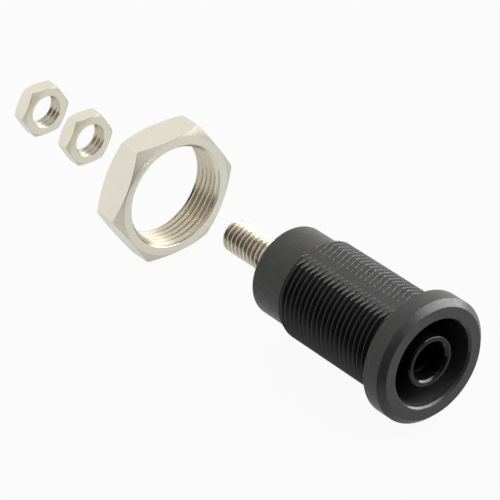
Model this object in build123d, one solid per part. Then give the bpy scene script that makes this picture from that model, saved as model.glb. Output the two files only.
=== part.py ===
"""Shrouded 4 mm panel jack, with its panel nut and two terminal nuts laid out on its axis."""
from build123d import *
import os
from math import radians, tan

# Lengths are in millimetres and angles in degrees. The jack's axis is Y. The origin is on that
# axis, in the plane where the flange meets the panel: the plug goes in from -Y, and the wires
# are fixed at +Y.

# Clearances, each on the radius
sleeve_fit = 0.05
thread_fit = 0.05
lip_fit = 0.2               # round the plug's pin, in front of the socket

# Turned contact: socket, six-sided collar and threaded stud in one piece
socket_bore_d = 4.0
socket_bore_depth = 18.0
socket_wall = 0.6
socket_lead = 0.2
drill_point = 118
collar_step = 0.5           # from the sleeve out to the collar's flats
collar_t = 1.5
stud_d = 3.9                # crests of an M4 x 0.7 thread
stud_len = 9.9
stud_lead = 0.4

# Insulating sleeve around the contact
sleeve_wall = 0.35
sleeve_set_back = 0.45      # from the flange's face to the sleeve's tip
sleeve_tip_round = 0.3
lip_len = 2.0               # what covers the end of the live contact
lip_lead = 0.3
sleeve_flange_t = 1.5

# Ring-shaped recess that takes the shroud of a safety plug
recess_gap = 2.1            # from the sleeve to the recess's wall, at the mouth
recess_draft = 0.15         # how much nearer the wall is at the floor
recess_lead = 0.25
recess_corner = 0.3         # bevel where the wall meets the floor
recess_floor_t = 0.8

# Housing: flange, threaded barrel with one flat, and smooth rear end
barrel_wall = 0.85          # from the recess's mouth to the thread's crests
barrel_len = 16.3
barrel_flat_depth = 0.5     # below the crests
barrel_flat_turn = 12.5     # the flat's normal, from +Z towards -X
barrel_lead = 0.4           # bevel where the panel nut starts
flange_rim = 1.375          # from the barrel out to the flange's edge
flange_t = 2.9
flange_bevel = 0.7
rear_step = 0.55            # from the barrel down to the smooth end
rear_len = 4.8
rear_round = 0.4

# Nuts
panel_nut_rim = 1.05        # from the countersunk mouth to the flats
panel_nut_sink = 0.5        # from the thread out to the mouth
panel_nut_t = 4.4
terminal_nut_rim = 0.925
terminal_nut_sink = 0.125
terminal_nut_t = 2.1
nut_bevel_angle = 30
nut_face_share = 0.985      # round face of a nut, as a share of its width across flats

# Where the loosened nuts stand: free gaps along the axis, and turns from +X towards +Z
panel_nut_gap = 10.6        # from the stud's tip
inner_nut_gap = 12.4        # from the panel nut
outer_nut_gap = 6.9         # from the inner terminal nut
panel_nut_turn = 4.2
terminal_nut_turn = 1.2

near = 0.01                 # how far off an edge may be and still count as found

# Places along the axis
front_y = -flange_t
rear_y = barrel_len + rear_len
tip_y = rear_y + stud_len
collar_y = rear_y - collar_t
pocket_y = collar_y - sleeve_flange_t
recess_end_y = pocket_y - recess_floor_t
sleeve_tip_y = front_y + sleeve_set_back
socket_y = sleeve_tip_y + lip_len
panel_nut_y = tip_y + panel_nut_gap
inner_nut_y = panel_nut_y + panel_nut_t + inner_nut_gap
outer_nut_y = inner_nut_y + terminal_nut_t + outer_nut_gap

# Diameters, and the collar's width across flats, from the contact outwards
socket_d = socket_bore_d + 2 * socket_wall
lip_bore_d = socket_bore_d + 2 * lip_fit
sleeve_d = socket_d + 2 * (sleeve_fit + sleeve_wall)
collar_af = sleeve_d + 2 * collar_step
recess_mouth_d = sleeve_d + 2 * recess_gap
recess_end_d = recess_mouth_d - 2 * recess_draft
barrel_d = recess_mouth_d + 2 * barrel_wall     # 11.9, the crests of an M12 x 0.75 thread
flange_d = barrel_d + 2 * flange_rim
rear_d = barrel_d - 2 * rear_step


def turned(outline):
    """Solid turned about the jack's axis from (radius, y) corners."""
    return revolve(make_face(Polyline(*outline, close=True)), Axis.Y)


def rod(diameter, start_y, end_y):
    """Plain cylinder on the jack's axis."""
    radius = diameter / 2
    return turned([(0, start_y), (radius, start_y), (radius, end_y), (0, end_y)])


def cone(start_d, start_y, end_d, end_y):
    """Cone or frustum on the jack's axis."""
    outline = [(0, start_y), (start_d / 2, start_y), (end_d / 2, end_y)]
    if end_d > 0:
        outline.append((0, end_y))
    return turned(outline)


def hexagon(across_flats, start_y, length, turn=0):
    """Six-sided bar on the jack's axis, with one flat on top before it is turned."""
    section = RegularPolygon(across_flats / 2, 6, major_radius=False)
    bar = extrude(Plane.XZ * section, amount=-length)
    return Pos(0, start_y, 0) * Rot(0, -turn, 0) * bar


def edges_at(solid, y, diameter):
    """Round edges of a solid that lie in the plane y and have this diameter."""
    rings = solid.edges().filter_by(GeomType.CIRCLE)
    rings = rings.filter_by_position(Axis.Y, y - near, y + near)
    return rings.filter_by(lambda edge: abs(2 * edge.radius - diameter) < near)


def housing_body():
    """Flange, barrel and rear end as one turned body, before anything is cut from it."""
    flange_r = flange_d / 2
    barrel_r = barrel_d / 2
    rear_r = rear_d / 2
    body = turned([
        (0, front_y),
        (flange_r - flange_bevel, front_y),
        (flange_r, front_y + flange_bevel),
        (flange_r, 0),
        (barrel_r, 0),
        (barrel_r, barrel_len - barrel_lead),
        (barrel_r - barrel_lead, barrel_len),
        (rear_r, barrel_len),
        (rear_r, rear_y),
        (0, rear_y),
    ])
    return fillet(edges_at(body, rear_y, rear_d), rear_round)


def recess():
    """Ring-shaped space around the sleeve, slightly narrower towards its floor."""
    mouth_r = recess_mouth_d / 2
    end_r = recess_end_d / 2
    return turned([
        (0, front_y),
        (mouth_r + recess_lead, front_y),
        (mouth_r, front_y + recess_lead),
        (end_r, recess_end_y - recess_corner),
        (end_r - recess_corner, recess_end_y),
        (0, recess_end_y),
    ])


def barrel_flat():
    """Block that cuts the flat along the whole barrel."""
    block = Box(flange_d, barrel_len, flange_d, align=(Align.CENTER, Align.MIN, Align.MIN))
    return Rot(0, -barrel_flat_turn, 0) * Pos(0, 0, barrel_d / 2 - barrel_flat_depth) * block


def make_housing():
    """Moulded housing with the recess in front and the collar's pocket behind."""
    sleeve_hole = rod(sleeve_d + 2 * sleeve_fit, front_y, rear_y)
    pocket = hexagon(collar_af, pocket_y, rear_y - pocket_y)
    return housing_body() - barrel_flat() - recess() - sleeve_hole - pocket


def make_sleeve():
    """Insulating tube with a lip over the contact's end and a flange that seats in the pocket."""
    tube = rod(sleeve_d, sleeve_tip_y, collar_y)
    tube = fillet(edges_at(tube, sleeve_tip_y, sleeve_d), sleeve_tip_round)
    seat = rod(collar_af - 2 * sleeve_fit, pocket_y, collar_y)
    mouth = cone(lip_bore_d + 2 * lip_lead, sleeve_tip_y, lip_bore_d, sleeve_tip_y + lip_lead)
    lip_bore = rod(lip_bore_d, sleeve_tip_y, socket_y)
    contact_bore = rod(socket_d + 2 * sleeve_fit, socket_y, collar_y)
    return tube + seat - mouth - lip_bore - contact_bore


def make_contact():
    """Turned contact: the plug's socket, the collar that keeps it from turning, and the stud."""
    tube = rod(socket_d, socket_y, collar_y)
    collar = hexagon(collar_af, collar_y, collar_t)
    stud = rod(stud_d, rear_y, tip_y - stud_lead)
    stud += cone(stud_d, tip_y - stud_lead, stud_d - 2 * stud_lead, tip_y)
    bore_end_y = socket_y + socket_bore_depth
    point_len = socket_bore_d / 2 / tan(radians(drill_point / 2))
    bore = rod(socket_bore_d, socket_y, bore_end_y)
    bore += cone(socket_bore_d, bore_end_y, 0, bore_end_y + point_len)
    lead = cone(socket_bore_d + 2 * socket_lead, socket_y, socket_bore_d, socket_y + socket_lead)
    return tube + collar + stud - bore - lead


def make_nut(thread_d, sink, rim, thickness, near_y, turn):
    """Hexagon nut with bevelled corners and a countersunk mouth on both faces."""
    far_y = near_y + thickness
    bore_d = thread_d + 2 * thread_fit
    mouth_d = thread_d + 2 * sink
    across_flats = mouth_d + 2 * rim
    face_d = nut_face_share * across_flats
    wide_d = face_d + 2 * thickness / tan(radians(nut_bevel_angle))
    nut = hexagon(across_flats, near_y, thickness, turn)
    nut &= cone(face_d, near_y, wide_d, far_y)
    nut &= cone(wide_d, near_y, face_d, far_y)
    nut -= rod(bore_d, near_y, far_y)
    nut -= cone(mouth_d, near_y, bore_d, near_y + sink - thread_fit)
    return nut - cone(bore_d, far_y - sink + thread_fit, mouth_d, far_y)


def make_panel_nut():
    """Large nut that clamps the panel against the flange."""
    return make_nut(
        barrel_d, panel_nut_sink, panel_nut_rim, panel_nut_t, panel_nut_y, panel_nut_turn)


def make_terminal_nut(near_y):
    """One of the two small nuts that clamp a wire's terminal on the stud."""
    return make_nut(
        stud_d, terminal_nut_sink, terminal_nut_rim, terminal_nut_t, near_y, terminal_nut_turn)


parts = {
    "housing": make_housing(),
    "inner_sleeve": make_sleeve(),
    "contact_socket": make_contact(),
    "panel_nut": make_panel_nut(),
    "terminal_nut_inner": make_terminal_nut(inner_nut_y),
    "terminal_nut_outer": make_terminal_nut(outer_nut_y),
}

os.makedirs("parts", exist_ok=True)
for name, solid in parts.items():
    export_step(solid, f"parts/{name}.step")
    box = solid.bounding_box()
    print(name, [round(v, 2) for v in (*box.min, *box.max)], round(solid.volume, 2))
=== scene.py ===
"""Shrouded panel jack with its panel nut and terminal nuts laid out on its axis, dressed for rendering."""
from collections import namedtuple
from contextlib import contextmanager
from math import acos, cos, floor, pi, radians, sin, sqrt, tan

import bmesh
import bpy
import numpy as np
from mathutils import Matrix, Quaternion, Vector


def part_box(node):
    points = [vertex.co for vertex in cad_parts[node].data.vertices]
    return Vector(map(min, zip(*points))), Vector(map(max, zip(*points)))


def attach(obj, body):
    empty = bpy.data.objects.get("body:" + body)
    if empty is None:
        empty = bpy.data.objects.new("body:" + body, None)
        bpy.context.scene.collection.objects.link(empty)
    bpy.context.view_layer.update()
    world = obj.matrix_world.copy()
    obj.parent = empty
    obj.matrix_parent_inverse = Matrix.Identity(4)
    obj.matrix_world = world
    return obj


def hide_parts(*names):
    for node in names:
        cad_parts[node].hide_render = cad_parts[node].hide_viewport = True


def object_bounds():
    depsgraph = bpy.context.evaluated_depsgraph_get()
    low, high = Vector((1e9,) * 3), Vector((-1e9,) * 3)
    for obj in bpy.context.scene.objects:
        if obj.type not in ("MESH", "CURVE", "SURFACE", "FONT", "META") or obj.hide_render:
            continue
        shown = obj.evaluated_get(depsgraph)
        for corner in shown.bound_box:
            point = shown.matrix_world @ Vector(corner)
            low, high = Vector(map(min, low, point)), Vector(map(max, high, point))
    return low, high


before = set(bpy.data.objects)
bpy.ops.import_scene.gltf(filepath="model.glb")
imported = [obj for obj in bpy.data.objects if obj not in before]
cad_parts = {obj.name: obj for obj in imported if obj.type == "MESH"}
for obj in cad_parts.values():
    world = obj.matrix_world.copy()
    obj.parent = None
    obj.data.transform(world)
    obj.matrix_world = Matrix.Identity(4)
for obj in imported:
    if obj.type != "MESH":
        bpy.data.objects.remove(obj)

# Lengths are in millimetres, angles in degrees, and MM turns a length into the scene's metres.
# The jack's axis is Y. An angle round it goes from +X towards +Z.
MM = 0.001
TURN = 2 * pi
cad_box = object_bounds()


def along(node):
    """Where a CAD node starts and ends along the axis."""
    low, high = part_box(node)
    return low.y / MM, high.y / MM


# Places along the axis, from the frame. The flange's rear face is at 0.
front_y, rear_y = along("housing")
sleeve_tip_y, collar_y = along("inner_sleeve")
socket_y, stud_tip_y = along("contact_socket")

# Clearances, each on the radius
sleeve_fit = 0.05
thread_fit = 0.05

# Rounds of edges
fine_round = 0.08
edge_round = 0.1
soft_round = 0.12

# Contact
socket_r = 2.0
socket_outer_r = 2.6
socket_lead = 0.2
socket_depth = 18.0
drill_point = 118
collar_af = 7.0
collar_bevel = 0.12
stud_r = 1.95               # crests of the thread
stud_end_r = 1.5            # where the thread's leads start
stud_tip_edge = 0.05        # from there in to the flat end of the stud

# Sleeve
sleeve_r = 3.0
sleeve_bore_r = socket_outer_r + sleeve_fit
sleeve_tip_round = 0.28
sleeve_seat_r = collar_af / 2 - sleeve_fit
sleeve_seat_t = 1.5
lip_r = 2.2
lip_lead = 0.3
lip_lead_round = 0.15
lip_mouth_r = 2.5
lip_mouth_round = 0.22

# Housing
flange_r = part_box("housing")[1].z / MM
flange_bevel = 0.7
relief_len = 0.9            # plain neck between the flange and the thread
barrel_r = 5.95             # crests of the thread
thread_end_r = 5.4          # where the thread's leads start, just under the flat
flat_r = 5.45               # from the axis to the flat
flat_angle = 102.5
rub_and_glint_depth = 0.09            # how far under the flat the pale rubbed edge of the thread reaches, partly wear, partly painted glint
rear_len = 4.8
rear_r = 5.4
rear_step = 0.02            # from the barrel to where the rear end has its full radius
rear_round = 0.4
parting_angle = 168
parting_start = 0.2         # from the barrel to where the parting lines begin
parting_h = 0.06
parting_w = 1.0             # in degrees
recess_mouth_r = 5.1
recess_end_r = 4.95
recess_lead = 0.25
recess_corner = 0.3
recess_floor_t = 0.8
polish_depth = 0.5          # how far the polish of the recess's mouth reaches in
sleeve_hole_r = sleeve_r + sleeve_fit
pocket_rim = 0.1            # ring of the rear face outside the pocket's corners

# Places that follow
barrel_end_y = rear_y - rear_len
parting_y = barrel_end_y + parting_start
pocket_y = collar_y - sleeve_seat_t
recess_end_y = pocket_y - recess_floor_t
socket_end_y = socket_y + socket_depth

# Skins
near = 0.01                 # how far off a place may be and still count as met
weld = 0.0002               # points nearer than this are one
cut_weld = 1e-6             # a point nearer to a cut than this lies in it
seam = 1.0                  # from an edge to where a skin starts and ends, on a straight wall
columns = 144               # round the axis
contact_columns = 120
sharp_angle = 25


class Thread(namedtuple("Thread", "pitch crest_r root_r crest_share root_share rounding")):
    """Thread with flat shares of its pitch on the crest and in the root.

    The rounding is the share of a flank that is taken up at each of its ends.
    """

    @property
    def root_start(self):
        """Where the root starts, in pitches from a crest."""
        return 0.5 - self.root_share / 2

    @property
    def flank_w(self):
        """Width of a flank, in pitches."""
        return self.root_start - self.crest_share / 2


barrel_thread = Thread(0.75, barrel_r, 5.48, 0.12, 0.20, 0.18)
stud_thread = Thread(0.7, stud_r, 1.56, 0.14, 0.22, 0.18)
panel_nut_thread = Thread(barrel_thread.pitch, barrel_r + thread_fit, 6.38, 0.14, 0.26, 0.18)
terminal_nut_thread = Thread(stud_thread.pitch, stud_r + thread_fit, 2.3, 0.14, 0.26, 0.18)

# Nuts: radius of the countersunk mouth, turn, and how far a worn corner stands back
Nut = namedtuple("Nut", "across_flats mouth_r thread turn corner_cut")
panel_nut = Nut(15.0, 6.45, panel_nut_thread, 4.2, 0.06)
terminal_nut = Nut(6.0, 2.075, terminal_nut_thread, 1.2, 0.035)
nut_face_share = 0.985      # round face of a nut, as a share of its width across flats
nut_bevel_angle = 30
nut_edge = 0.035            # width of the worn edge between a nut's side and its bevel
nut_crest_shade = 0.3        # value of the painted root shade on the crests of a nut's thread, which darkens its whole bore
run_in_start = 0.04         # where the grooves begin behind a mouth that is narrower than they are
run_in_len = 0.2            # and how far on they have their full depth


def add_object(name, data):
    """New object in the scene, of a mesh, a lamp or a camera."""
    obj = bpy.data.objects.new(name, data)
    bpy.context.scene.collection.objects.link(obj)
    return obj


@contextmanager
def edited(mesh):
    """The mesh opened for editing, and written back at the end."""
    bm = bmesh.new()
    bm.from_mesh(mesh)
    yield bm
    bm.to_mesh(mesh)
    bm.free()


def ring_angles(count, extra=()):
    """Angles of a piece's columns, from 0 to a full turn, with the extra ones among them."""
    extra = [a % TURN for a in extra]
    return np.unique(np.round(np.concatenate([np.linspace(0, TURN, count + 1), extra]), 9))


def rounded(corners, steps=4, hold=0.06):
    """Outline through (radius, y, fillet) corners, with each fillet as an arc.

    The first and the last corner have no fillet. A row close to each end of an arc holds the shading
    of the long stretches flat.
    """
    outline = []
    for i, (r, y, fillet) in enumerate(corners):
        if not fillet:
            outline.append((r, y))
            continue
        here = Vector((r, y))
        before = Vector(corners[i - 1][:2]) - here
        after = Vector(corners[i + 1][:2]) - here
        half = before.angle(after) / 2
        reach = fillet / tan(half)
        room_before, room_after = before.length / 2, after.length / 2
        before.normalize()
        after.normalize()
        centre = here + (before + after).normalized() * (fillet / sin(half))
        start = here + before * reach
        end = here + after * reach
        if reach + hold < room_before:
            outline.append(tuple(start + before * hold))
        for step in range(steps + 1):
            share = step / steps
            spoke = (start - centre) * (1 - share) + (end - centre) * share
            outline.append(tuple(centre + spoke.normalized() * fillet))
        if reach + hold < room_after:
            outline.append(tuple(end + after * hold))
    return outline


def thread_height(phase, thread):
    """1 on the crest and 0 in the root, with rounded corners. The phase is in pitches from a crest."""
    away = abs((phase + 0.5) % 1 - 0.5)
    flank = (thread.root_start - away) / thread.flank_w
    e = thread.rounding
    low = np.where(flank < -e, 0, np.where(flank > e, flank, (flank + e) ** 2 / (4 * e)))
    return np.where(low > 1 + e, 1, np.where(low < 1 - e, low, 1 - (1 + e - low) ** 2 / (4 * e)))


def thread_places(thread):
    """Where one pitch needs rows, in pitches from a crest."""
    e = thread.rounding
    away = [thread.root_start - thread.flank_w * x for x in (-e, 0, e, 1 - e, 1, 1 + e)]
    return sorted([0, 0.5] + away + [1 - a for a in away])


def thread_rows(angles, thread, start_y, end_y, lead):
    """Rows that follow a right-handed helix from one plane to another, each as (radius, y).

    Rows that run past a plane lie in it. The lead bounds the radius near the ends.
    """
    back = thread.pitch * angles / TURN
    first = floor(start_y / thread.pitch) - 1
    last = floor(end_y / thread.pitch) + 2
    rows = []
    for turn in range(first, last + 1):
        for place in thread_places(thread):
            y = np.clip((turn + place) * thread.pitch - back, start_y, end_y)
            height = thread_height((y + back) / thread.pitch, thread)
            r = thread.root_r + (thread.crest_r - thread.root_r) * height
            rows.append((lead(r, y), y))
    inside = [i for i, (r, y) in enumerate(rows) if y.max() > start_y and y.min() < end_y]
    return rows[inside[0] - 1:inside[-1] + 2]


def skin(name, angles, rows, turn=0):
    """Mesh object through rows of (radius, y), each a number or one value for each column.

    Points that meet become one, so rows that end in a plane or on the axis close the skin.
    """
    placed = np.append(angles[:-1], 0) + radians(turn)
    r, y = (
        np.array([np.broadcast_to(row[part], angles.shape) for row in rows], float)
        for part in (0, 1))
    points = np.stack([r * np.cos(placed), y, r * np.sin(placed)], -1).reshape(-1, 3) * MM
    index = np.arange(len(points)).reshape(r.shape)
    faces = np.stack([index[:-1, :-1], index[:-1, 1:], index[1:, 1:], index[1:, :-1]], -1)
    mesh = bpy.data.meshes.new(name)
    mesh.from_pydata(points.tolist(), [], faces.reshape(-1, 4).tolist())
    with edited(mesh) as bm:
        bmesh.ops.remove_doubles(bm, verts=bm.verts, dist=weld * MM)
    return add_object(name, mesh)


def finish_skin(obj):
    """Faces outwards, smooth shading with sharp corners, and a stop if the skin is open."""
    with edited(obj.data) as bm:
        bmesh.ops.recalc_face_normals(bm, faces=bm.faces)
        for face in bm.faces:
            face.smooth = True
        for edge in bm.edges:
            if len(edge.link_faces) != 2:
                raise ValueError(f"{obj.name} is open at {edge.verts[0].co}")
            edge.smooth = edge.calc_face_angle() < radians(sharp_angle)


def hex_radius(angles, across_flats, corner_cut=0.0):
    """Radius of a hexagon with a flat on top, its corners cut back to a round."""
    off = np.degrees(angles) % 60 - 30
    r = across_flats / 2 / np.cos(np.radians(off))
    return np.minimum(r, across_flats / sqrt(3) - corner_cut)


def hex_corner_angles(across_flats, corner_cut):
    """Where the round corners of a hexagon start and end."""
    half = pi / 6 - acos(across_flats / 2 / (across_flats / sqrt(3) - corner_cut))
    return [k * pi / 3 + side * half for k in range(6) for side in (-1, 1)]


def mark(obj, name, rule):
    """Value on each face corner, for the materials, by a rule on the radius and place along the axis."""
    mesh = obj.data
    co = np.empty(len(mesh.vertices) * 3)
    mesh.vertices.foreach_get("co", co)
    x, y, z = co.reshape(-1, 3).T / MM
    vertex = np.empty(len(mesh.loops), int)
    mesh.loops.foreach_get("vertex_index", vertex)
    value = rule(np.hypot(x, z), y)[vertex].astype(np.float32)
    mesh.attributes.new(name, "FLOAT", "CORNER").data.foreach_set("value", value)


def mark_root_shade(obj, thread, start_y, end_y, end_r, crest=0.0):
    """Marks the painted shade of a thread: from the crest's value to 1 in the root, and 0 off the thread.

    The cones at the thread's ends, which start at end_r and rise or fall by 45 degrees, are off it.
    """
    inwards = np.sign(thread.crest_r - end_r)
    slack = 0.1             # how far off the thread's depth, as a share of it, a point may lie

    def rule(r, y):
        depth = (thread.crest_r - r) / (thread.crest_r - thread.root_r)
        inside = np.minimum(y - start_y, end_y - y)
        on_thread = (inside > near) & (depth > -slack) & (depth < 1 + slack)
        on_cone = abs(end_r + inwards * inside - r) < near
        return np.where(on_thread & ~on_cone, crest + (1 - crest) * np.clip(depth, 0, 1), 0)

    mark(obj, "root_shade", rule)


def on_barrel(face):
    """Is this one of the barrel's outer faces, from the neck to the end of the thread?"""
    low, high = relief_len / 2 * MM, (barrel_end_y + near) * MM
    inner = (recess_mouth_r + thread_end_r) / 2 * MM
    return all(
        low < v.co.y < high and (v.co.x ** 2 + v.co.z ** 2) ** 0.5 > inner for v in face.verts)


def cut_barrel(bm, normal, depth, clear_outer):
    """Cuts the barrel's outer faces by a plane at this depth, and returns the new edges."""
    faces = [face for face in bm.faces if on_barrel(face)]
    edges = list(dict.fromkeys(e for face in faces for e in face.edges))
    verts = list(dict.fromkeys(v for face in faces for v in face.verts))
    cut = bmesh.ops.bisect_plane(
        bm, geom=faces + edges + verts, dist=cut_weld * MM, plane_co=normal * depth * MM,
        plane_no=normal, clear_outer=clear_outer)
    return [e for e in cut["geom_cut"] if isinstance(e, bmesh.types.BMEdge)]


def cut_flat(obj):
    """Cuts the barrel's flat, and marks the cut's edge on the thread to be pale: partly wear, partly
    painted glint.
    """
    normal = Vector((cos(radians(flat_angle)), 0, sin(radians(flat_angle))))
    with edited(obj.data) as bm:
        rub_and_glint = bm.loops.layers.float.new("rub_and_glint")
        root_shade = bm.loops.layers.float["root_shade"]
        cut_barrel(bm, normal, flat_r - rub_and_glint_depth, False)
        edges = cut_barrel(bm, normal, flat_r, True)
        for vert in {v for e in edges for v in e.verts}:
            for loop in vert.link_loops:
                loop[rub_and_glint] = 1
        filled = bmesh.ops.triangle_fill(bm, edges=edges, normal=normal, use_beauty=True)
        for face in filled["geom"]:
            if isinstance(face, bmesh.types.BMFace):
                for loop in face.loops:
                    loop[rub_and_glint] = 0
                    loop[root_shade] = 0


def parting_lift(angles):
    """How far the mould's two parting lines stand out, for each column."""
    lift = np.zeros(len(angles))
    for side in (0, 180):
        off = (np.degrees(angles) - parting_angle - side + 180) % 360 - 180
        lift += parting_h * np.clip(1 - abs(off) / parting_w, 0, 1)
    return lift


def flange_rows():
    """From the recess's wall round the flange and along the neck to the thread."""
    return rounded([
        (recess_mouth_r, front_y + seam, 0),
        (recess_mouth_r, front_y + recess_lead, soft_round),
        (recess_mouth_r + recess_lead, front_y, edge_round),
        (flange_r - flange_bevel, front_y, fine_round),
        (flange_r, front_y + flange_bevel, fine_round),
        (flange_r, 0, soft_round),
        (thread_end_r, 0, edge_round),
        (thread_end_r, relief_len, 0),
    ])


def rear_rows(lift):
    """Smooth rear end, from the thread to the rim of the pocket, with the parting lines' lift."""
    rows = rounded([
        (thread_end_r, barrel_end_y, 0),
        (rear_r, barrel_end_y + rear_step, 0),
        (rear_r, parting_y, 0),
        (rear_r, rear_y, rear_round),
        (collar_af / sqrt(3) + pocket_rim, rear_y, 0),
    ], steps=6)
    return [(r + lift * (y > parting_y - near) * (r > rear_r - near), y) for r, y in rows]


def inner_rows(angles):
    """The collar's pocket, the sleeve's hole, and the recess's floor and wall."""
    pocket_r = hex_radius(angles, collar_af)
    pocket = [(pocket_r, rear_y), (pocket_r, pocket_y), (sleeve_hole_r, pocket_y)]
    return pocket + [
        (sleeve_hole_r, recess_end_y),
        (recess_end_r - recess_corner, recess_end_y),
        (recess_end_r, recess_end_y - recess_corner),
        (recess_mouth_r, front_y + seam),
    ]


def make_housing():
    """Flange, threaded barrel with its flat, smooth rear end, recess, and the collar's pocket."""
    ridge = [
        radians(parting_angle + side + step * parting_w)
        for side in (0, 180) for step in (-1, -0.5, 0, 0.5, 1)]
    angles = ring_angles(columns, ridge)

    def lead(r, y):
        end = np.minimum(y - relief_len, barrel_end_y - y)
        return np.minimum(r, thread_end_r + end)

    def on_mouth(r, y):
        return (y < front_y + polish_depth) & (r < recess_mouth_r + recess_lead + soft_round)

    thread = thread_rows(angles, barrel_thread, relief_len, barrel_end_y, lead)
    rows = flange_rows() + thread + rear_rows(parting_lift(angles)) + inner_rows(angles)
    obj = skin("housing_shell", angles, rows)
    # painted shade in the thread roots
    mark_root_shade(obj, barrel_thread, relief_len, barrel_end_y, thread_end_r)
    mark(obj, "polish", on_mouth)
    cut_flat(obj)
    finish_skin(obj)
    return obj


def make_sleeve():
    """Glossy tube with a rounded tip, a lip over the contact's end and a flange in the pocket."""
    outline = rounded([
        (sleeve_r, pocket_y - seam, 0),
        (sleeve_r, sleeve_tip_y, sleeve_tip_round),
        (lip_mouth_r, sleeve_tip_y, lip_mouth_round),
        (lip_r, sleeve_tip_y + lip_lead, lip_lead_round),
        (lip_r, socket_y, 0),
        (sleeve_bore_r, socket_y, 0),
        (sleeve_bore_r, collar_y, 0),
        (sleeve_seat_r, collar_y, edge_round),
        (sleeve_seat_r, pocket_y, 0),
        (sleeve_r, pocket_y, 0),
        (sleeve_r, pocket_y - seam, 0),
    ], steps=6)
    obj = skin("sleeve", ring_angles(columns), outline)
    finish_skin(obj)
    return obj


def make_contact():
    """Turned contact: socket tube, six-sided collar and threaded stud."""
    angles = ring_angles(contact_columns)
    point_y = socket_end_y + socket_r / tan(radians(drill_point / 2))
    socket = rounded([
        (0, point_y, 0),
        (socket_r, socket_end_y, 0),
        (socket_r, socket_y + socket_lead, edge_round),
        (socket_r + socket_lead, socket_y, 0),
        (socket_outer_r, socket_y, edge_round),
        (socket_outer_r, collar_y, 0),
    ])
    collar_r = hex_radius(angles, collar_af)
    collar = [
        (collar_r, collar_y),
        (collar_r, rear_y - collar_bevel),
        (collar_r - collar_bevel, rear_y),
        (stud_end_r, rear_y),
    ]

    def lead(r, y):
        end = np.minimum(y - rear_y, stud_tip_y - y)
        return np.minimum(r, stud_end_r + end)

    def shaded_in_sleeve(r, y):
        return (y < collar_y) & (r < socket_outer_r + near)

    stud = thread_rows(angles, stud_thread, rear_y, stud_tip_y, lead)
    tip = [(stud_end_r - stud_tip_edge, stud_tip_y), (0, stud_tip_y)]
    obj = skin("contact", angles, socket + collar + stud + tip)
    # painted shade in the stud's thread roots
    mark_root_shade(obj, stud_thread, rear_y, stud_tip_y, stud_end_r)
    # painted shade inside the sleeve
    mark(obj, "inside", shaded_in_sleeve)
    finish_skin(obj)
    return obj


def nut_side_rows(side_r, face_r, near_y, far_y):
    """A nut's outside, with a bevel and a worn edge at each face."""
    slope = tan(radians(nut_bevel_angle))
    bevel_y = near_y + (side_r - face_r) * slope
    back = nut_edge * cos(radians(nut_bevel_angle))
    drop = nut_edge * sin(radians(nut_bevel_angle))
    face_back = nut_edge / 2
    near_rows = [
        (face_r - face_back, near_y),
        (face_r + face_back, near_y + face_back * slope),
        (side_r - back, bevel_y - drop),
        (side_r, bevel_y + nut_edge),
    ]
    return near_rows + [(r, near_y + far_y - y) for r, y in reversed(near_rows)]


def make_nut(node, nut):
    """Hexagon nut with bevelled corners, a countersunk mouth on both faces and a real thread."""
    near_y, far_y = along(node)
    thread = nut.thread
    angles = ring_angles(columns, hex_corner_angles(nut.across_flats, nut.corner_cut))
    side_r = hex_radius(angles, nut.across_flats, nut.corner_cut)
    face_r = nut_face_share * nut.across_flats / 2

    def lead(r, y):
        end = np.minimum(y - near_y, far_y - y)
        if nut.mouth_r < thread.root_r:
            depth = np.clip((end - run_in_start) / run_in_len, 0, 1)
            r = thread.crest_r + (r - thread.crest_r) * depth
        return np.maximum(r, nut.mouth_r - end)

    def on_bevel(r, y):
        from_face = np.minimum(y - near_y, far_y - y)
        bevel = (r - face_r) * tan(radians(nut_bevel_angle))
        return (abs(from_face - bevel) < nut_edge / 4) & (r > face_r)

    side = nut_side_rows(side_r, face_r, near_y, far_y)
    bore = thread_rows(angles, thread, near_y, far_y, lead)
    rows = [(nut.mouth_r, near_y)] + side + [(nut.mouth_r, far_y)] + bore[::-1]
    obj = skin(f"{node}_hex", angles, rows, nut.turn)
    # painted shade over the whole bore, deepest in the thread roots
    mark_root_shade(obj, thread, near_y, far_y, nut.mouth_r, nut_crest_shade)
    # the bevels' turned finish, partly painted shade
    mark(obj, "turned_and_shaded", on_bevel)
    finish_skin(obj)
    return obj


def grey(value):
    """Colour without a hue. Colours are linear red, green and blue, and an alpha of 1."""
    return (value, value, value, 1)


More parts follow.
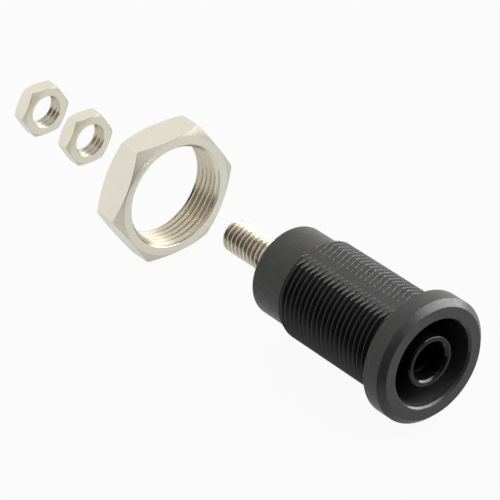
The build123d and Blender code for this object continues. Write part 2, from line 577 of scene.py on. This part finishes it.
class Nodes:
    """Node tree of a material or a world, with short calls to add nodes and join them."""

    def __init__(self, owner):
        owner.use_nodes = True
        self.owner = owner
        self.tree = owner.node_tree
        self.shader = self.tree.nodes.get("Principled BSDF") or self.tree.nodes["Background"]

    def add(self, kind, **values):
        """New node, with these properties."""
        node = self.tree.nodes.new(kind)
        for key, value in values.items():
            setattr(node, key, value)
        return node

    def put(self, value, socket):
        """Fills an input, from another node's output or with a constant."""
        if isinstance(value, bpy.types.NodeSocket):
            self.tree.links.new(value, socket)
        else:
            socket.default_value = value

    def attribute(self, name):
        """Value that was marked on the mesh."""
        return self.add("ShaderNodeAttribute", attribute_name=name).outputs["Fac"]

    def noise(self, scale, detail, stretch=(1, 1, 1)):
        """Noise fixed to the piece, at a scale in cycles per metre."""
        mapping = self.add("ShaderNodeMapping")
        node = self.add("ShaderNodeTexNoise")
        self.put(self.add("ShaderNodeTexCoord").outputs["Object"], mapping.inputs["Vector"])
        self.put(stretch, mapping.inputs["Scale"])
        self.put(mapping.outputs["Vector"], node.inputs["Vector"])
        self.put(scale, node.inputs["Scale"])
        self.put(detail, node.inputs["Detail"])
        return node.outputs["Fac"]

    def ramp(self, source, *stops):
        """Colours along a value, as (place, colour) stops."""
        node = self.add("ShaderNodeValToRGB")
        while len(node.color_ramp.elements) < len(stops):
            node.color_ramp.elements.new(1)
        for element, (place, colour) in zip(node.color_ramp.elements, stops):
            element.position = place
            element.color = colour
        self.put(source, node.inputs["Fac"])
        return node.outputs["Color"]

    def wander(self, scale, detail, first, second):
        """Colour that wanders from one to another with a noise, over the noise's common values."""
        return self.ramp(self.noise(scale, detail), (0.3, first), (0.7, second))

    def mix(self, factor, first, second):
        """Mix of two colours. The Mix node has its colours in inputs 6 and 7 and in output 2."""
        node = self.add("ShaderNodeMix", data_type="RGBA")
        self.put(factor, node.inputs["Factor"])
        self.put(first, node.inputs[6])
        self.put(second, node.inputs[7])
        return node.outputs[2]

    def math(self, operation, first, second):
        """Result of an operation on two values."""
        node = self.add("ShaderNodeMath", operation=operation)
        self.put(first, node.inputs[0])
        self.put(second, node.inputs[1])
        return node.outputs[0]

    def surface(self, colour, rough, specular=0.5, metallic=0.0):
        """What the shader shows. The specular level is 0.5 by default."""
        self.put(colour, self.shader.inputs["Base Color"])
        self.put(rough, self.shader.inputs["Roughness"])
        self.put(specular, self.shader.inputs["Specular IOR Level"])
        self.put(metallic, self.shader.inputs["Metallic"])

    def bump(self, height, distance, strength):
        """Fine relief in the shading."""
        node = self.add("ShaderNodeBump")
        self.put(height, node.inputs["Height"])
        self.put(distance * MM, node.inputs["Distance"])
        self.put(strength, node.inputs["Strength"])
        self.put(node.outputs["Normal"], self.shader.inputs["Normal"])


# Colours of the nickel. Those of the thread roots and the socket are painted shade, the turned one partly.
nickel_dark = (0.80, 0.775, 0.67, 1)
nickel_light = (0.835, 0.81, 0.70, 1)
# darker turned finish of the bevels, partly painted shade
nickel_turned_shaded = (0.68, 0.65, 0.55, 1)
# painted shade in the thread roots
nut_root_shade_colour = (0.66, 0.60, 0.48, 1)
stud_root_shade_colour = (0.38, 0.31, 0.23, 1)
# painted shade inside the socket
socket_shade_colour = (0.012, 0.011, 0.010, 1)


def moulded_black():
    """Matt charcoal plastic with a fine moulded grain.

    The thread roots are near black, which is painted shade. The thread's edge at the flat is pale, partly
    wear and partly a painted glint.
    """
    nodes = Nodes(bpy.data.materials.new("moulded_black"))
    specks = nodes.ramp(nodes.noise(5200, 2), (0.64, grey(0)), (0.78, grey(1)))
    grooves = nodes.ramp(nodes.attribute("root_shade"), (0.02, grey(0)), (0.3, grey(1)))
    colour = nodes.wander(900, 4, grey(0.026), grey(0.034))
    colour = nodes.mix(specks, colour, grey(0.12))
    # painted shade: the thread roots near black
    colour = nodes.mix(grooves, colour, grey(0.006))
    # pale rubbed edge at the flat: partly wear, partly a painted glint
    colour = nodes.mix(nodes.attribute("rub_and_glint"), colour, grey(0.30))
    rough = nodes.wander(2400, 3, grey(0.30), grey(0.42))
    rough = nodes.mix(nodes.attribute("polish"), rough, grey(0.18))
    nodes.surface(colour, rough, specular=0.42)
    nodes.bump(nodes.noise(7000, 3), distance=0.012, strength=1.0)
    return nodes.owner


def gloss_black():
    """Glossy black plastic with faint turning lines of the mould round the axis."""
    nodes = Nodes(bpy.data.materials.new("gloss_black"))
    colour = nodes.wander(1500, 2, grey(0.003), grey(0.006))
    rough = nodes.wander(2500, 3, grey(0.06), grey(0.11))
    nodes.surface(colour, rough, specular=0.28)
    nodes.bump(nodes.noise(600, 2, stretch=(1, 12, 1)), distance=0.004, strength=0.25)
    return nodes.owner


def bright_nickel(name, root_shade_colour):
    """Satin nickel plating with faint tool marks.

    The thread roots, a nut's whole bore and the socket carry painted shade, and the bevels' darker turned
    finish is partly painted shade.
    """
    nodes = Nodes(bpy.data.materials.new(name))
    turned_and_shaded = nodes.attribute("turned_and_shaded")
    inside = nodes.attribute("inside")
    grooves = nodes.ramp(nodes.attribute("root_shade"), (0.1, grey(0)), (0.3, grey(0.5)), (0.6, grey(1)))
    colour = nodes.wander(500, 4, nickel_dark, nickel_light)
    # painted shade in the thread roots, and over a nut's whole bore
    colour = nodes.mix(grooves, colour, root_shade_colour)
    # darker turned finish of the bevels, partly painted shade for their dark reflections
    colour = nodes.mix(turned_and_shaded, colour, nickel_turned_shaded)
    # painted shade: the socket inside the sleeve near black
    colour = nodes.mix(inside, colour, socket_shade_colour)
    rough = nodes.wander(1800, 3, grey(0.22), grey(0.29))
    rough = nodes.mix(turned_and_shaded, rough, grey(0.32))
    rough = nodes.mix(inside, rough, grey(0.6))
    nodes.surface(colour, rough, metallic=1.0)
    nodes.bump(nodes.noise(1600, 3, stretch=(1, 5, 1)), distance=0.004, strength=0.02)
    return nodes.owner


def dress(obj, material, body, node):
    """Gives a piece its material, puts it in the place of its CAD node, and returns it."""
    obj.data.materials.append(material)
    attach(obj, body)
    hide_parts(node)
    return obj


def make_object():
    """Every piece, with its material and its body. Returns the jack's own pieces, and the nuts."""
    nut_nickel = bright_nickel("nickel_nuts", nut_root_shade_colour)
    stud_nickel = bright_nickel("nickel_stud", stud_root_shade_colour)
    jack = [
        dress(make_housing(), moulded_black(), "jack", "housing"),
        dress(make_sleeve(), gloss_black(), "jack", "inner_sleeve"),
        dress(make_contact(), stud_nickel, "jack", "contact_socket"),
    ]
    nuts = [
        dress(make_nut(node, nut), nut_nickel, body, node)
        for node, body, nut in (
            ("panel_nut", "panel_nut", panel_nut),
            ("terminal_nut_inner", "inner_nut", terminal_nut),
            ("terminal_nut_outer", "outer_nut", terminal_nut))]
    return jack, nuts


# Floor
floor_gap = 0.05            # from the floor up to the object
floor_reach = 1500          # from the origin to its sides
floor_shade = 0.65
floor_white = 0.93          # how much of its look is plain white to the camera
floor_mirrored = 0.6        # and how much of that white the object's gloss shows

# Surroundings: a bright wall behind the object, and dimmer sides and front. The cosine of the angle
# to the wall says where the sides end and the wall begins.
wall_towards = (0, 0.985, 0.17)
wall_colour = (0.93, 0.905, 0.89, 1)
wall_start = 0.5
side_colour = (0.49, 0.477, 0.465, 1)
side_end = 0.1
sky_white = 0.98            # what the camera sees past the floor

# Dark cards at the front left. The upright one stands on a line, and the other one lies just under
# the object, from that line nearly to the jack. The lying one is a painted dark reflection: a sheet
# that only the object's gloss shows, in place of the floor's shadow there.
card_shade = 0.03
card_line = [(-150, -45), (-45, -150)]
front_card_low, front_card_high = -7, 110
mirrored_shade_card_z = -7.8
mirrored_shade_card_end = [(-4, -19), (-22, -4)]
matt = 0.9                  # roughness of the cards and the floor

# Lamps: place, the point they face, size, power in watts, and turn about the line between the two
Lamp = namedtuple("Lamp", "place aim width height power roll")
key = Lamp((247, -50, 150), (0, 30, 0), 300, 260, 0.35, 0)
jack_key = Lamp((220, -70, 185), (0, 10, 0), 200, 480, 2.2, 38)
nut_fill = Lamp((0, -260, 90), (0, 55, 0), 500, 260, 0.16, 0)

# Camera of the photograph, with a long lens. It looks down on the object, and has no roll.
camera_place = (-178.47, -196.26, 173.84)
camera_heading = 38.507     # from +Y towards +X
camera_tilt = -31.342       # from level
camera_lens = 216
camera_sensor = 36
camera_clip = (10, 20000)


def make_sheet(name, material_name, corners, shade):
    """Flat sheet of the studio, without gloss. Returns it and its material's nodes."""
    mesh = bpy.data.meshes.new(name)
    mesh.from_pydata([Vector(corner) * MM for corner in corners], [], [(0, 1, 2, 3)])
    nodes = Nodes(bpy.data.materials.new(material_name))
    nodes.surface(grey(shade), matt, specular=0.0)
    mesh.materials.append(nodes.owner)
    obj = add_object(name, mesh)
    return obj, nodes


def make_floor():
    """Pale floor just under the object, white to the camera, that keeps a soft shadow."""
    level = cad_box[0].z / MM - floor_gap
    sides = ((-1, -1), (1, -1), (1, 1), (-1, 1))
    corners = [(x * floor_reach, y * floor_reach, level) for x, y in sides]
    nodes = make_sheet("floor", "pale_floor", corners, floor_shade)[1]
    path = nodes.add("ShaderNodeLightPath").outputs
    mirrored = nodes.math("MULTIPLY", path["Is Glossy Ray"], floor_mirrored)
    seen = nodes.math("MAXIMUM", path["Is Camera Ray"], mirrored)
    seen = nodes.math("MAXIMUM", seen, path["Is Transmission Ray"])
    blend = nodes.add("ShaderNodeMixShader")
    nodes.put(nodes.math("MULTIPLY", seen, floor_white), blend.inputs["Fac"])
    nodes.put(nodes.shader.outputs[0], blend.inputs[1])
    nodes.put(nodes.add("ShaderNodeEmission").outputs[0], blend.inputs[2])
    nodes.put(blend.outputs[0], nodes.tree.nodes["Material Output"].inputs["Surface"])


def make_card(name, corners, mirrored_only=False):
    """Dark card that the camera sees through, as a shade for the object.

    A card that is mirrored only shows in the object's gloss and shades nothing: a painted dark reflection.
    """
    obj = make_sheet(name, f"{name}_black", corners, card_shade)[0]
    obj.visible_camera = False
    obj.visible_diffuse = not mirrored_only
    obj.visible_shadow = not mirrored_only


def make_cards():
    """The upright card, and the one that lies in front of the jack as a painted dark reflection."""
    start, end = card_line
    low, high = front_card_low, front_card_high
    make_card("front_card", [(*start, low), (*end, low), (*end, high), (*start, high)])
    lying = [(x, y, mirrored_shade_card_z) for x, y in card_line + mirrored_shade_card_end]
    make_card("mirrored_shade_card", lying, mirrored_only=True)


def make_world():
    """Soft pale surroundings, brighter behind the object, and white to the camera."""
    nodes = Nodes(bpy.data.worlds.new("studio"))
    bpy.context.scene.world = nodes.owner
    towards = nodes.add("ShaderNodeVectorMath", operation="DOT_PRODUCT")
    nodes.put(nodes.add("ShaderNodeTexCoord").outputs["Generated"], towards.inputs[0])
    nodes.put(wall_towards, towards.inputs[1])
    around = nodes.ramp(towards.outputs["Value"], (side_end, side_colour), (wall_start, wall_colour))
    path = nodes.add("ShaderNodeLightPath").outputs
    seen = nodes.mix(path["Is Camera Ray"], around, grey(sky_white))
    nodes.put(seen, nodes.shader.inputs["Color"])


def add_lamp(name, spec, lit=()):
    """Rectangular soft lamp. It lights everything, or only the pieces that lit holds."""
    lamp = bpy.data.lights.new(name, "AREA")
    lamp.shape = "RECTANGLE"
    lamp.size = spec.width * MM
    lamp.size_y = spec.height * MM
    lamp.energy = spec.power
    obj = add_object(name, lamp)
    obj.location = Vector(spec.place) * MM
    facing = (Vector(spec.aim) - Vector(spec.place)).to_track_quat("-Z", "Y")
    obj.rotation_euler = (facing @ Quaternion((0, 0, 1), radians(spec.roll))).to_euler()
    if lit:
        group = bpy.data.collections.new(f"{name}_lit")
        for piece in lit:
            group.objects.link(piece)
        obj.light_linking.receiver_collection = group


def make_camera():
    """The photograph's viewing angle."""
    data = bpy.data.cameras.new("camera")
    data.lens = camera_lens
    data.sensor_width = camera_sensor
    data.clip_start, data.clip_end = (distance * MM for distance in camera_clip)
    obj = add_object("camera", data)
    obj.location = Vector(camera_place) * MM
    obj.rotation_euler = (radians(90 + camera_tilt), 0, radians(-camera_heading))
    bpy.context.scene.camera = obj


jack, nuts = make_object()
make_floor()
make_world()
make_cards()
add_lamp("key", key)
add_lamp("jack_key", jack_key, lit=jack)
add_lamp("nut_fill", nut_fill, lit=nuts)
make_camera()
bpy.context.scene.view_settings.view_transform = "Standard"
